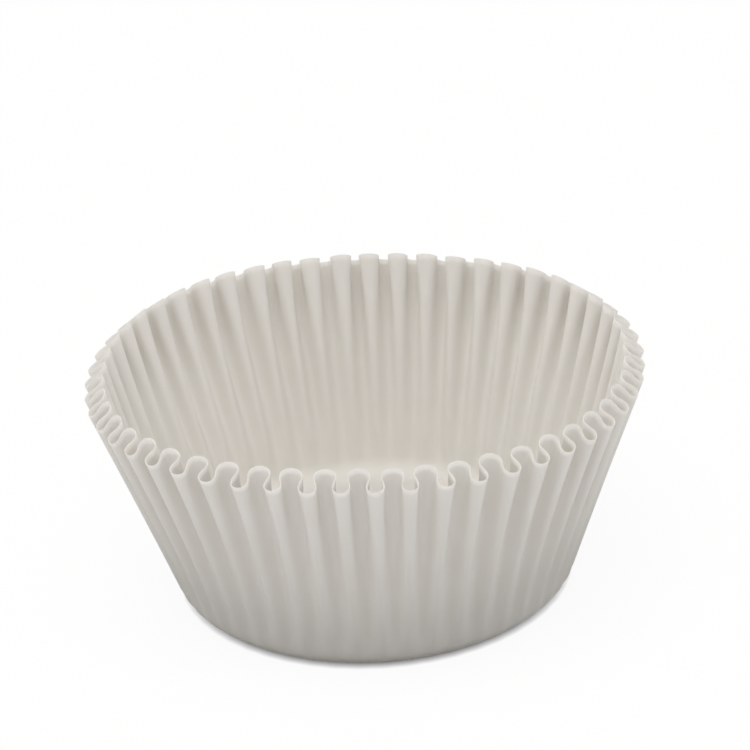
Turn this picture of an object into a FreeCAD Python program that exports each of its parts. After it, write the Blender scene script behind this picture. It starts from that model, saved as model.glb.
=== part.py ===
import FreeCAD, Part
import math
import os

# Cupcake liner: one round sheet of thin paper, pressed into a cup with a flat base and a fluted wall.
# Millimetres, +Z up. The origin is on the axis, on the underside of the flat base.

# Driving sizes
flute_count = 52
rim_diameter = 72.0  # over the ridges, at the rim
foot_diameter = 51.0  # over the ridges, where their line meets the floor
wall_height = 29.0  # floor to the rim, at the ridges
rim_rise = 2.0  # how much higher the rim ends in the grooves
flank_angle = 75.0  # degrees between a flute's side and the line of the rim
rim_fold_radius = 0.97  # of ridges and grooves at the rim, in the middle of the paper
foot_fold_radius = 0.75  # of ridges and grooves at the floor
foot_flute_depth = 0.3  # what is left of the flutes at the floor
runout_height = 10.0  # the grooves rise out of the wall from here down to the floor
paper_thickness = 0.1
fold_flats = 9  # flats that round each fold, an odd number so that one is the crest
corner_radius = 3.0  # soft corner between the base and the wall
corner_flats = 3  # flats that round the soft corner
trim_allowance = 2.0  # how far the wall runs past the rim before it is trimmed
foot_allowance = 0.4  # how far the wall runs past the floor before it is trimmed
runout_cover = 0.05  # how deep the top of the run-out lies under the bottoms of the grooves

# Angles, slopes and heights that follow
rim_radius = rim_diameter / 2
foot_radius = foot_diameter / 2
ridge_slope = (rim_radius - foot_radius) / wall_height
wall_angle = math.atan2(1, ridge_slope)
half_flute = math.pi / flute_count
ridge_turn = math.radians(flank_angle)  # how far a ridge fold turns to each side, in plan
groove_turn = ridge_turn - half_flute
half_paper = paper_thickness / 2 * math.hypot(1, ridge_slope)  # half the thickness, measured level
blank_height = wall_height + rim_rise + trim_allowance


def fold_room(ridge_r):
    """Largest fold radius for which the flats of a ridge and of a groove still clear each other."""
    spread = math.sin(half_flute) / math.cos(groove_turn)
    taken = 2 * (math.tan(groove_turn) + math.tan(ridge_turn / (fold_flats + 1)))
    return 0.98 * (ridge_r - half_paper) * spread / (taken + spread)


rim_fold = min(rim_fold_radius, fold_room(rim_radius))
foot_fold = min(foot_fold_radius, fold_room(foot_radius))


def fold_radius(height):
    return foot_fold + (rim_fold - foot_fold) * height / wall_height


def ridge_centre(height):
    """Distance from the axis to the centre of a ridge fold."""
    return foot_radius + ridge_slope * height - fold_radius(height) - half_paper


def groove_centre(height):
    """Distance from the axis to the centre of a groove fold, which touches the same sides as the ridges."""
    reach = ridge_centre(height) * math.cos(ridge_turn) + 2 * fold_radius(height)
    return reach / math.cos(groove_turn)


def groove_bottom(height):
    """Radius of the outer skin at the bottom of a groove."""
    return groove_centre(height) - fold_radius(height) + half_paper


rim_slope = rim_rise / (rim_radius - groove_bottom(wall_height + rim_rise))


def polar(distance, angle, height):
    return FreeCAD.Vector(distance * math.cos(angle), distance * math.sin(angle), height)


def fold_corners(centre, direction, radius, turn):
    """Corners between the flats of one fold. They touch an arc, which a groove runs the other way round."""
    step = 2 * turn / (fold_flats + 1)
    reach = radius / math.cos(step / 2)
    turns = [direction - turn + (i + 0.5) * step for i in range(fold_flats + 1)]
    return [centre + polar(reach, angle, 0) for angle in turns]


def flute_ring(inset, height):
    """Outline of the fluted wall in plan, its skin set in from the outer face of the paper."""
    skin = half_paper - inset * math.hypot(1, ridge_slope)
    radius = fold_radius(height)
    corners = []
    for i in range(flute_count):
        ridge = 2 * half_flute * i
        groove = ridge + half_flute
        corners += fold_corners(polar(ridge_centre(height), ridge, height), ridge, radius + skin, ridge_turn)
        corners += fold_corners(polar(groove_centre(height), groove, height), groove, skin - radius, -groove_turn)
    return corners


def flats_ring(flat_radius, height, first_corner=half_flute):
    """Regular polygon with one flat before each ridge, or before each groove if it is turned by first_corner=0."""
    corner_r = flat_radius / math.cos(half_flute)
    return [polar(corner_r, first_corner + 2 * half_flute * i, height) for i in range(flute_count)]


def flat_face(corners):
    return Part.Face(Part.makePolygon(corners + corners[:1]))


def faceted_solid(rings):
    """Solid with flat faces from each ring of corners to the next, lowest ring first, all facing outward."""
    faces = [flat_face(rings[0][::-1]), flat_face(rings[-1])]
    for low, high in zip(rings, rings[1:]):
        for i in range(len(low)):
            faces.append(flat_face([low[i - 1], low[i], high[i], high[i - 1]]))
    return Part.Solid(Part.Shell(faces))


def runout_body(inset):
    """Cone of flats that fills the lower ends of the grooves, so that the flutes run out towards the floor."""
    floor_r = foot_radius - foot_flute_depth
    slope = (groove_bottom(runout_height) - runout_cover - floor_r) / runout_height
    rings = []
    for height in (-foot_allowance, runout_height):
        rings.append(flats_ring(floor_r + slope * height - inset * math.hypot(1, slope), height, 0))
    return faceted_solid(rings)


def fluted_body(inset, top):
    wall = faceted_solid([flute_ring(inset, -foot_allowance), flute_ring(inset, top)])
    return wall.fuse(runout_body(inset))


def foot_rings(inset, clear_radius):
    """Rings of the soft corner: flats that touch one arc, the last one run out clear of the wall."""
    centre_r = foot_radius - corner_radius * math.tan(wall_angle / 2)
    step = wall_angle / (corner_flats + 1)
    reach = (corner_radius - inset) / math.cos(step / 2)
    rings = []
    for i in range(corner_flats):
        turn = (i + 0.5) * step
        flat_r = centre_r + reach * math.sin(turn)
        height = corner_radius - reach * math.cos(turn)
        rings.append(flats_ring(flat_r, height))
    height += (clear_radius - flat_r) * math.tan(corner_flats * step)
    rings.append(flats_ring(clear_radius, height))
    return rings


def outer_body():
    """All that lies within the outer skin, with the foot rounded and the rim trimmed."""
    clear_radius = rim_radius + trim_allowance
    rings = foot_rings(0, clear_radius)
    rings.append(flats_ring(clear_radius, wall_height - rim_slope * trim_allowance))
    rings.append(flats_ring(rim_radius / 2, wall_height + rim_slope * rim_radius / 2))
    return fluted_body(0, blank_height).common(faceted_solid(rings))


def inner_body():
    """All that lies within the inner skin, run out past the rim."""
    clear_radius = rim_radius + 2 * trim_allowance
    rings = foot_rings(paper_thickness, clear_radius)
    rings.append(flats_ring(clear_radius, blank_height + 2 * trim_allowance))
    return fluted_body(paper_thickness, blank_height + trim_allowance).common(faceted_solid(rings))


def make_liner():
    return outer_body().cut(inner_body())


os.makedirs("parts", exist_ok=True)
liner = make_liner()
liner.exportStep("parts/liner.step")
box = liner.BoundBox
print("flute depth at the floor", round(foot_radius - groove_bottom(0), 2),
      "at the rim", round(rim_radius - groove_bottom(wall_height), 2))
print("liner", len(liner.Solids), "solid,", len(liner.Faces), "faces, valid", liner.isValid())
print("volume", round(liner.Volume, 1), "size", round(box.XLength, 2), round(box.YLength, 2), round(box.ZLength, 2))
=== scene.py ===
import math
import bpy
import numpy as np
from mathutils import Matrix, Vector


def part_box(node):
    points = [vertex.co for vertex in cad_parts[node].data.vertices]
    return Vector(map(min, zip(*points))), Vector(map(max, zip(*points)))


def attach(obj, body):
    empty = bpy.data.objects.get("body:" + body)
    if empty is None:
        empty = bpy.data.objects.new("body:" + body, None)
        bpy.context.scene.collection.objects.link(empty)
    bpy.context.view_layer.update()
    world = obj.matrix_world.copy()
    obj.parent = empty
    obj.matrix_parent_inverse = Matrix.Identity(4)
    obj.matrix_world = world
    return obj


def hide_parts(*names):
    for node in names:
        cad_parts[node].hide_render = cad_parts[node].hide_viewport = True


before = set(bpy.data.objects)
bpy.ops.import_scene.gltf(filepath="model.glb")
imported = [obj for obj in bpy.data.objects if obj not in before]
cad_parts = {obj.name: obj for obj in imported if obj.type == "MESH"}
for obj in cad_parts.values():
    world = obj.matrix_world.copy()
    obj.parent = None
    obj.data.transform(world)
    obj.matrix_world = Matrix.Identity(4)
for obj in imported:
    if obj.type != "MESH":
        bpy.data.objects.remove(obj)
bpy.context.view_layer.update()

# The liner's own sizes, in metres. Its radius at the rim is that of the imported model.
MM = 0.001
_, liner_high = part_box("liner")
PAPER_THICKNESS = 0.10 * MM
RIM_RADIUS = liner_high.x
FOOT_RADIUS = RIM_RADIUS - 9.65 * MM
WALL_HEIGHT = 29.8 * MM
CORNER_RADIUS = 3.0 * MM
FLUTE_COUNT = 52

# Section of the cup: lengths run along it, from the middle of the base over the soft corner to the rim
WALL_SLOPE = math.atan2(WALL_HEIGHT, RIM_RADIUS - FOOT_RADIUS)
CORNER_SETBACK = CORNER_RADIUS * math.tan(WALL_SLOPE / 2)
CORNER_START = FOOT_RADIUS - CORNER_SETBACK
WALL_START = CORNER_START + CORNER_RADIUS * WALL_SLOPE
RIM_LENGTH = WALL_START + math.hypot(WALL_HEIGHT, RIM_RADIUS - FOOT_RADIUS) - CORNER_SETBACK

# Flutes, from the foot to the rim
RIM_FLUTE_DEPTH = 3.1 * MM
WALL_FLUTE_DEPTH = 2.7 * MM  # what the wall's even slope alone would give at the rim
FOOT_FLUTE_DEPTH = 0.05 * MM
FOOT_RUNOUT = 6.5 * MM  # length over which the flutes rise out of the smooth foot
RUNOUT_SOFTNESS = 1.3  # 1 is an even rise, more starts it gently
WALL_OVERHANG = 0.1  # 0 is a plain wave, 1 has upright sides, more curls the folds round
RIM_OVERHANG = 1.9
RIM_DOME = 0.04  # how full the folds are at the rim: 0 is a plain wave, 0.25 has flat crossings
RIM_CURL = 5.0  # how suddenly the folds deepen and curl round towards the rim
GROOVE_WIDENING = 0.3  # how much wider the inner folds are than the outer ones, at the rim
RIM_RISE = 1.15 * MM  # extra length of the paper in the grooves, at the rim

# The set that the limp rim has taken
RIM_OVAL = 1.22 * MM  # wider from side to side than from front to back,
RIM_SQUARING = 0.53 * MM  # and a little fuller at the four quarters
SET_GROWTH = 1.5  # how suddenly it grows up the wall

# Small differences between the folds
FOLD_DRIFT = 0.05  # sideways, as a share of a flute
OVERHANG_SPREAD = 0.08  # as a share of the overhang
DEPTH_SPREAD = 0.05  # as a share of the depth
RIM_UNEVENNESS = 0.10 * MM  # along the wall

# Paper, floor and light
CLOUD_SIZE = 6 * MM  # soft cloudy spots of the sheet
FIBRE_SIZE = 0.45 * MM  # clumps of fibre, drawn coarser than the real ones so that they show
FIBRE_RELIEF = 0.04 * MM
LIGHT_LET_THROUGH = 0.25  # share of the light that the thin sheet scatters through to its other side
CONTACT_SHADOW = 0.9 * MM  # how far the painted contact shadow, a dark line under the foot, reaches
CONTACT_SOFTNESS = 0.6  # 1 is as dark as the crevice really is, less is paler
SHADE_REACH = 70 * MM  # how far the liner's painted shade reaches over the floor that lights the wall from below
FLOOR_WHITENESS = 0.92  # share of plain white in the floor, the rest takes light and shadow
FLOOR_HALF_SIDE = 3.0
ROOM_LIGHT = 0.78  # strength of the even light from all round

# Mesh
STEPS_PER_FLUTE = 18
BASE_RINGS = 6
CORNER_RINGS = 7
WALL_RINGS = 36
BASE_HUB = 0.02  # radius of the innermost ring, as a share of the flat base
CORNER_LEAD = 0.6 * MM  # the finer rings of the corner start this far inside it

# Camera, matched to the photograph
IMAGE_SIDE = 750
CAMERA_ELEVATION = math.radians(28.3)
CAMERA_DISTANCE = 0.400
SENSOR_WIDTH = 36.0  # in millimetres, as Blender wants it
FOCAL_PIXELS = 2995
TARGET_HEIGHT = 14.65 * MM  # a point of the liner's axis,
TARGET_PIXEL = (370.5, 469.5)  # and where it is seen
CAMERA_ROLL = math.radians(3.4)
LINER_TURN = math.radians(-6.4)  # turns the liner so that its ridges are where they are seen


def linear(hex_colour):
    """An sRGB colour such as "c8c4bc" as linear RGBA."""
    channels = [int(hex_colour[i:i + 2], 16) / 255 for i in (0, 2, 4)]
    return [c / 12.92 if c <= 0.04045 else ((c + 0.055) / 1.055) ** 2.4 for c in channels] + [1.0]


def add_node(tree, kind, links=None, **settings):
    """Adds a shader node, sets its properties and input sockets by name, and links other sockets into it."""
    node = tree.nodes.new(kind)
    for name, value in settings.items():
        if hasattr(node, name):
            setattr(node, name, value)
        else:
            node.inputs[name.replace("_", " ")].default_value = value
    for socket, source in (links or {}).items():
        tree.links.new(source, node.inputs[socket])
    return node


def new_material(name):
    material = bpy.data.materials.new(name)
    material.use_nodes = True
    material.node_tree.nodes.clear()
    return material, material.node_tree


def white_ground_rays(tree):
    """1 for the rays that see the white ground: those of the camera, of reflections and of transmissions."""
    path = add_node(tree, "ShaderNodeLightPath").outputs
    mirrored = add_node(tree, "ShaderNodeMath", {0: path["Is Camera Ray"], 1: path["Is Glossy Ray"]},
                        operation="MAXIMUM").outputs["Value"]
    all_three = add_node(tree, "ShaderNodeMath", {0: mirrored, 1: path["Is Transmission Ray"]},
                         operation="MAXIMUM")
    return all_three.outputs["Value"]


def greaseproof_paper():
    """Thin uncoated paper: a pale warm grey that lets a little light through, with a fine fibre grain."""
    material, tree = new_material("greaseproof paper")
    place = add_node(tree, "ShaderNodeTexCoord").outputs["Object"]
    cloud = add_node(tree, "ShaderNodeTexNoise", {"Vector": place},
                     Scale=1 / CLOUD_SIZE, Detail=3.0, Roughness=0.55).outputs["Fac"]
    fibre = add_node(tree, "ShaderNodeTexNoise", {"Vector": place},
                     Scale=1 / FIBRE_SIZE, Detail=4.0, Roughness=0.6).outputs["Fac"]
    tone = add_node(tree, "ShaderNodeMix", {"Factor": cloud},
                    data_type="RGBA", A=linear("efece7"), B=linear("f5f3ef")).outputs["Result"]
    grain = add_node(tree, "ShaderNodeBump", {"Height": fibre},
                     Strength=0.10, Distance=FIBRE_RELIEF).outputs["Normal"]
    face = add_node(tree, "ShaderNodeBsdfPrincipled", {"Base Color": tone, "Normal": grain},
                    Roughness=0.62, Specular_IOR_Level=0.28).outputs["BSDF"]
    glow = add_node(tree, "ShaderNodeBsdfTranslucent", {"Normal": grain}, Color=linear("ece9e3"))
    sheet = add_node(tree, "ShaderNodeMixShader", {1: face, 2: glow.outputs["BSDF"]}, Fac=LIGHT_LET_THROUGH)
    add_node(tree, "ShaderNodeOutputMaterial", {"Surface": sheet.outputs["Shader"]})
    return material


def seen_floor_with_painted_contact_line(tree):
    """Almost as white as the backdrop, with a faint real shadow from the lamps and a painted contact shadow:
    a dark line where the foot touches.
    """
    matte = add_node(tree, "ShaderNodeBsdfDiffuse", Color=linear("f4f2ee")).outputs["BSDF"]
    # painted shade: the occlusion round the foot darkens the white that the floor gives off
    crevice = add_node(tree, "ShaderNodeAmbientOcclusion", Distance=CONTACT_SHADOW, samples=16)
    shade = add_node(tree, "ShaderNodeMath", {0: crevice.outputs["AO"]}, operation="POWER")
    shade.inputs[1].default_value = CONTACT_SOFTNESS
    white = add_node(tree, "ShaderNodeEmission", {"Color": shade.outputs["Value"]}, Strength=1.0)
    floor = add_node(tree, "ShaderNodeMixShader", {1: matte, 2: white.outputs["Emission"]},
                     Fac=FLOOR_WHITENESS)
    return floor.outputs["Shader"]


def bounce_floor_with_painted_shade(tree):
    """What lights the wall from below: the liner's shade is painted into its colour, dark round the foot and
    white further out.
    """
    place = add_node(tree, "ShaderNodeTexCoord").outputs["Object"]
    distance = add_node(tree, "ShaderNodeVectorMath", {0: place}, operation="LENGTH").outputs["Value"]
    painted_shade_fade = add_node(tree, "ShaderNodeMapRange", {"Value": distance}, interpolation_type="SMOOTHSTEP",
                      From_Min=FOOT_RADIUS, From_Max=FOOT_RADIUS + SHADE_REACH).outputs["Result"]
    # painted shade: the floor's colour runs from dark round the foot to white further out
    tone = add_node(tree, "ShaderNodeMix", {"Factor": painted_shade_fade},
                    data_type="RGBA", A=linear("11100f"), B=linear("ffffff")).outputs["Result"]
    return add_node(tree, "ShaderNodeBsdfDiffuse", {"Color": tone}).outputs["BSDF"]


def studio_floor():
    """White backdrop paper: one finish for what is seen, and another for the light that it throws back."""
    material, tree = new_material("white studio floor")
    seen = white_ground_rays(tree)
    floor = add_node(tree, "ShaderNodeMixShader", {0: seen, 1: bounce_floor_with_painted_shade(tree), 2: seen_floor_with_painted_contact_line(tree)})
    add_node(tree, "ShaderNodeOutputMaterial", {"Surface": floor.outputs["Shader"]})
    return material


def jitter(seed, amount, flute):
    """A value for every ridge and groove, drawn within +-amount, with straight lines between them."""
    knots = np.arange(2 * FLUTE_COUNT) / 2
    values = np.random.default_rng(seed).uniform(-amount, amount, len(knots))
    return np.interp(flute, knots, values, period=FLUTE_COUNT)


def section(length):
    """Radius and height of the cup's outer line at that length, and its outward normal."""
    turn = np.clip((length - CORNER_START) / CORNER_RADIUS, 0, WALL_SLOPE)
    beyond = np.maximum(length - WALL_START, 0)
    radius = np.minimum(length, CORNER_START) + CORNER_RADIUS * np.sin(turn) + beyond * math.cos(WALL_SLOPE)
    height = CORNER_RADIUS * (1 - np.cos(turn)) + beyond * math.sin(WALL_SLOPE)
    return radius, height, np.sin(turn), -np.cos(turn)


def ring_lengths():
    """Lengths along the section at which the mesh has a ring."""
    corner_lead = CORNER_START - CORNER_LEAD
    base = np.linspace(BASE_HUB * CORNER_START, corner_lead, BASE_RINGS, endpoint=False)
    corner = np.linspace(corner_lead, WALL_START, CORNER_RINGS, endpoint=False)
    wall = np.linspace(WALL_START, RIM_LENGTH, WALL_RINGS)
    return np.concatenate([base, corner, wall])


def fold_angle(flute, share, curl):
    """Angle round the axis: the folds curl round towards the rim, and each drifts a little to one side."""
    cycle = 2 * np.pi * flute
    overhang = WALL_OVERHANG * share ** 0.5 + (RIM_OVERHANG - WALL_OVERHANG) * curl
    overhang = overhang * (1 + jitter(3, OVERHANG_SPREAD, flute))
    drift = jitter(1, FOLD_DRIFT, flute) * share + jitter(2, FOLD_DRIFT, flute) * (1 - share)
    curled = overhang / (4 * np.pi) * np.sin(2 * cycle)
    widened = GROOVE_WIDENING * curl / (2 * np.pi) * np.sin(cycle)
    return 2 * np.pi * (flute + curled - widened + drift) / FLUTE_COUNT


def fold_inward(flute, curl):
    """Place across the fold, from 0 on a ridge to 1 in a groove."""
    cycle = 2 * np.pi * flute
    return (1 - (1 - RIM_DOME * curl) * np.cos(cycle) - RIM_DOME * curl * np.cos(3 * cycle)) / 2


def fold_depth(flute, share, curl, lengths):
    """Depth of the flutes, which rise out of the smooth foot and deepen once more at the rim."""
    depth = FOOT_FLUTE_DEPTH + (WALL_FLUTE_DEPTH - FOOT_FLUTE_DEPTH) * share
    depth = depth + (RIM_FLUTE_DEPTH - WALL_FLUTE_DEPTH) * curl
    runout = np.clip((lengths - CORNER_START) / FOOT_RUNOUT, 0, 1) ** RUNOUT_SOFTNESS
    return depth * runout * (1 + jitter(4, DEPTH_SPREAD, flute))


def rim_set(angle, share):
    """How far the limp wall has moved to the axis, and the turn that keeps the flutes their width."""
    narrowing = RIM_OVAL * np.cos(2 * angle) + RIM_SQUARING * np.cos(4 * angle)
    turn = (RIM_OVAL * np.sin(2 * angle) / 2 + RIM_SQUARING * np.sin(4 * angle) / 4) / RIM_RADIUS
    return narrowing * share ** SET_GROWTH, turn * share ** SET_GROWTH


def liner_points():
    """Rings of points on the middle of the paper, one row for each ring."""
    lengths = ring_lengths()[:, None]
    flute = np.arange(FLUTE_COUNT * STEPS_PER_FLUTE)[None, :] / STEPS_PER_FLUTE
    share = np.clip((lengths - CORNER_START) / (RIM_LENGTH - CORNER_START), 0, 1)
    curl = share ** RIM_CURL
    inward = fold_inward(flute, curl)
    along = lengths + (RIM_RISE * inward + jitter(5, RIM_UNEVENNESS, flute)) * share ** 2
    radius, height, out_r, out_z = section(along)
    angle = fold_angle(flute, share, curl)
    narrowing, turn = rim_set(angle, share)
    depth = fold_depth(flute, share, curl, lengths)
    radius = radius - depth * inward * out_r - narrowing
    height = height - depth * inward * out_z + PAPER_THICKNESS / 2
    angle = angle + turn + LINER_TURN - np.pi / 2
    return np.stack([radius * np.cos(angle), radius * np.sin(angle), height], axis=-1)


def liner_faces(rings, columns):
    """A fan of triangles round the middle of the base, and quads from each ring to the next."""
    middle = rings * columns
    faces = [(middle, c, (c + 1) % columns) for c in range(columns)]
    for low in range(0, middle - columns, columns):
        high = low + columns
        for c in range(columns):
            after = (c + 1) % columns
            faces.append((low + c, high + c, high + after, low + after))
    return faces


def build_liner(material):
    points = liner_points()
    middle = [0, 0, PAPER_THICKNESS / 2]
    vertices = points.reshape(-1, 3).tolist() + [middle]
    mesh = bpy.data.meshes.new("fluted_liner")
    mesh.from_pydata(vertices, [], liner_faces(*points.shape[:2]))
    mesh.polygons.foreach_set("use_smooth", [True] * len(mesh.polygons))
    mesh.materials.append(material)
    mesh.update()
    liner = bpy.data.objects.new("fluted_liner", mesh)
    bpy.context.scene.collection.objects.link(liner)
    paper = liner.modifiers.new("paper thickness", "SOLIDIFY")
    paper.thickness = PAPER_THICKNESS
    paper.offset = 0
    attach(liner, "root")
    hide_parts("liner")


def build_floor(material):
    half = FLOOR_HALF_SIDE
    corners = [(-half, -half, 0), (half, -half, 0), (half, half, 0), (-half, half, 0)]
    mesh = bpy.data.meshes.new("floor")
    mesh.from_pydata(corners, [], [(0, 1, 2, 3)])
    mesh.materials.append(material)
    floor = bpy.data.objects.new("floor", mesh)
    bpy.context.scene.collection.objects.link(floor)


def add_softbox(name, place, aim, width, power, colour):
    light = bpy.data.lights.new(name, "AREA")
    light.shape = "DISK"
    light.size = width
    light.energy = power
    light.color = linear(colour)[:3]
    softbox = bpy.data.objects.new(name, light)
    softbox.location = place
    softbox.rotation_euler = (Vector(aim) - Vector(place)).to_track_quat("-Z", "Y").to_euler()
    bpy.context.scene.collection.objects.link(softbox)


def light_room():
    """White for the rays that see the ground, soft light of its own for all else, and three softboxes."""
    world = bpy.data.worlds.new("studio")
    bpy.context.scene.world = world
    world.use_nodes = True
    tree = world.node_tree
    tree.nodes.clear()
    seen = white_ground_rays(tree)
    room = add_node(tree, "ShaderNodeBackground", Strength=ROOM_LIGHT, Color=linear("fcfbfb"))
    white = add_node(tree, "ShaderNodeBackground", Strength=1.0, Color=linear("ffffff"))
    both = add_node(tree, "ShaderNodeMixShader",
                    {0: seen, 1: room.outputs["Background"], 2: white.outputs["Background"]})
    add_node(tree, "ShaderNodeOutputWorld", {"Surface": both.outputs["Shader"]})
    add_softbox("overhead softbox", place=(-0.10, -0.15, 0.90), aim=(0, 0, 0),
                width=0.6, power=3.0, colour="fffdf8")
    add_softbox("left fill", place=(-0.85, -0.40, 0.30), aim=(0, 0, 0.02),
                width=0.5, power=0.75, colour="f8faff")
    add_softbox("right fill", place=(0.85, -0.30, 0.30), aim=(0, 0, 0.02),
                width=0.5, power=0.9, colour="eff5ff")


def place_camera():
    """A long lens in front of the liner and above it, turned so that its axis is seen at TARGET_PIXEL."""
    target = Vector((0, 0, TARGET_HEIGHT))
    back = Vector((0, -math.cos(CAMERA_ELEVATION), math.sin(CAMERA_ELEVATION)))
    camera_data = bpy.data.cameras.new("camera")
    camera_data.sensor_width = SENSOR_WIDTH
    camera_data.lens = FOCAL_PIXELS / IMAGE_SIDE * SENSOR_WIDTH
    camera_data.clip_start = 0.01
    camera = bpy.data.objects.new("camera", camera_data)
    bpy.context.scene.collection.objects.link(camera)
    level = Matrix.Rotation(math.pi / 2 - CAMERA_ELEVATION, 3, "X")
    right_pixels = TARGET_PIXEL[0] - IMAGE_SIDE / 2
    down_pixels = TARGET_PIXEL[1] - IMAGE_SIDE / 2
    swing = Matrix.Rotation(math.atan2(right_pixels, FOCAL_PIXELS), 3, "Y")
    tip = Matrix.Rotation(math.atan2(down_pixels, FOCAL_PIXELS), 3, "X")
    roll = Matrix.Rotation(-CAMERA_ROLL, 3, "Z")
    turned = (level @ roll @ tip @ swing).to_4x4()
    camera.matrix_world = Matrix.Translation(target + back * CAMERA_DISTANCE) @ turned
    bpy.context.scene.camera = camera


build_liner(greaseproof_paper())
build_floor(studio_floor())
light_room()
place_camera()
bpy.context.scene.view_settings.view_transform = "Standard"
